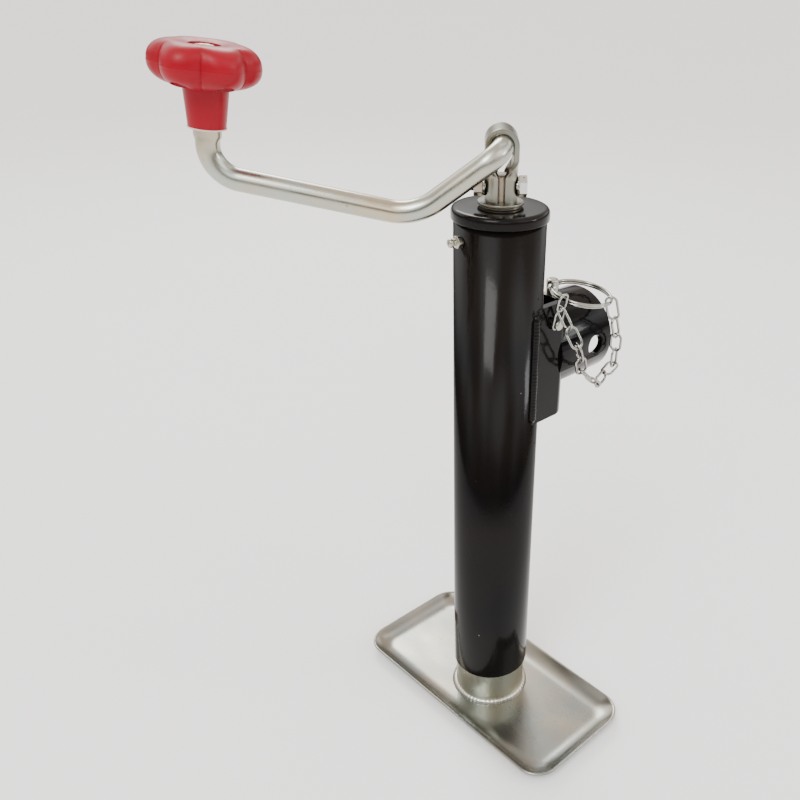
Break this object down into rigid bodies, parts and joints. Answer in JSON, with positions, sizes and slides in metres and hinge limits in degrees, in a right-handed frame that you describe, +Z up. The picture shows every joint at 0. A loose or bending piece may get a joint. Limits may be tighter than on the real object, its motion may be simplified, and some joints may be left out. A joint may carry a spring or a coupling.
{
  "type": "trailer tongue jack",
  "caption": "Screw-driven tube jack with a fold-over crank handle and knob, a pipe mount on its side with a pull pin, and a flat pressed foot.",
  "frame": {"origin": "centre of the foot's underside, on the tube axis", "axes": "+Z up along the tube, +X along the mounting pipe away from the tube, Y along the foot's long side"},
  "size_m": [0.2426, 0.2197, 0.4811],
  "materials": {
    "black_paint": "gloss",
    "zinc_plate": "satin zinc plate",
    "plain_steel": "machined, greased",
    "brass_nut": "machined",
    "red_plastic": "gloss"
  },
  "bodies": {
    "jack_tube": {"outer_tube": "black_paint", "top_cap": "black_paint", "bearing_seat_plate": "plain_steel", "spindle_bush": "plain_steel", "bearing_top_race": "plain_steel", "grease_nipple": "zinc_plate", "mount_bracket": "black_paint", "bracket_weld_beads": "black_paint", "mount_pipe": "black_paint", "pipe_weld_beads": "black_paint", "chain_rivet": "zinc_plate", "tether_chain": "zinc_plate"},
    "crank": {"lead_screw": "plain_steel", "thrust_collar": "plain_steel", "collar_pin": "plain_steel", "bearing_bottom_race": "plain_steel", "bearing_balls": "plain_steel", "bearing_ball_cage": "plain_steel", "cap_washer": "zinc_plate", "crank_strap": "zinc_plate", "strap_bolt": "zinc_plate", "strap_bolt_washers": "zinc_plate", "strap_lock_nut": "zinc_plate", "screw_stop_washer": "plain_steel", "screw_stop_pin": "plain_steel"},
    "handle": {"handle_rod": "zinc_plate", "pivot_washer": "zinc_plate", "pivot_push_clip": "zinc_plate", "knob_push_nut": "plain_steel"},
    "knob": {"hand_knob": "red_plastic"},
    "leg": {"drop_leg": "zinc_plate", "lead_nut": "brass_nut", "foot_pan": "zinc_plate", "leg_weld_ring": "zinc_plate"},
    "pin": {"lock_pin": "zinc_plate", "tether_chain_end_link": "zinc_plate"},
    "ring": {"pull_ring": "zinc_plate"}
  },
  "joints": [
    {"name": "crank_spin", "type": "hinge", "parent": "jack_tube", "child": "crank", "pos_m": [0, 0, 0.38], "axis": [0, 0, 1], "range_deg": [-18000, 0]},
    {"name": "foot_extend", "type": "slide", "parent": "jack_tube", "child": "leg", "axis": [0, 0, -1], "range_m": [0, 0.254]},
    {"name": "handle_fold", "type": "hinge", "parent": "crank", "child": "handle", "pos_m": [0, 0, 0.4273], "axis": [0.682, 0.7314, 0], "range_deg": [-8, 190]},
    {"name": "knob_spin", "type": "hinge", "parent": "handle", "child": "knob", "pos_m": [-0.13314, 0.09223, 0.4359], "axis": [0.0764, -0.0713, 0.9945], "continuous": true},
    {"name": "pin_pull", "type": "slide", "parent": "jack_tube", "child": "pin", "axis": [0, 0, 1], "range_m": [0, 0.02], "deforming": ["tether_chain"]},
    {"name": "ring_swing", "type": "hinge", "parent": "pin", "child": "ring", "pos_m": [0.051, 0, 0.32805], "axis": [-0.866, -0.5, 0], "range_deg": [0, 100], "deforming": ["tether_chain_end_link"]}
  ],
  "couplings": [
    {"joint": "foot_extend", "follows": "crank_spin", "m_per_rad": -0.0008085}
  ]
}
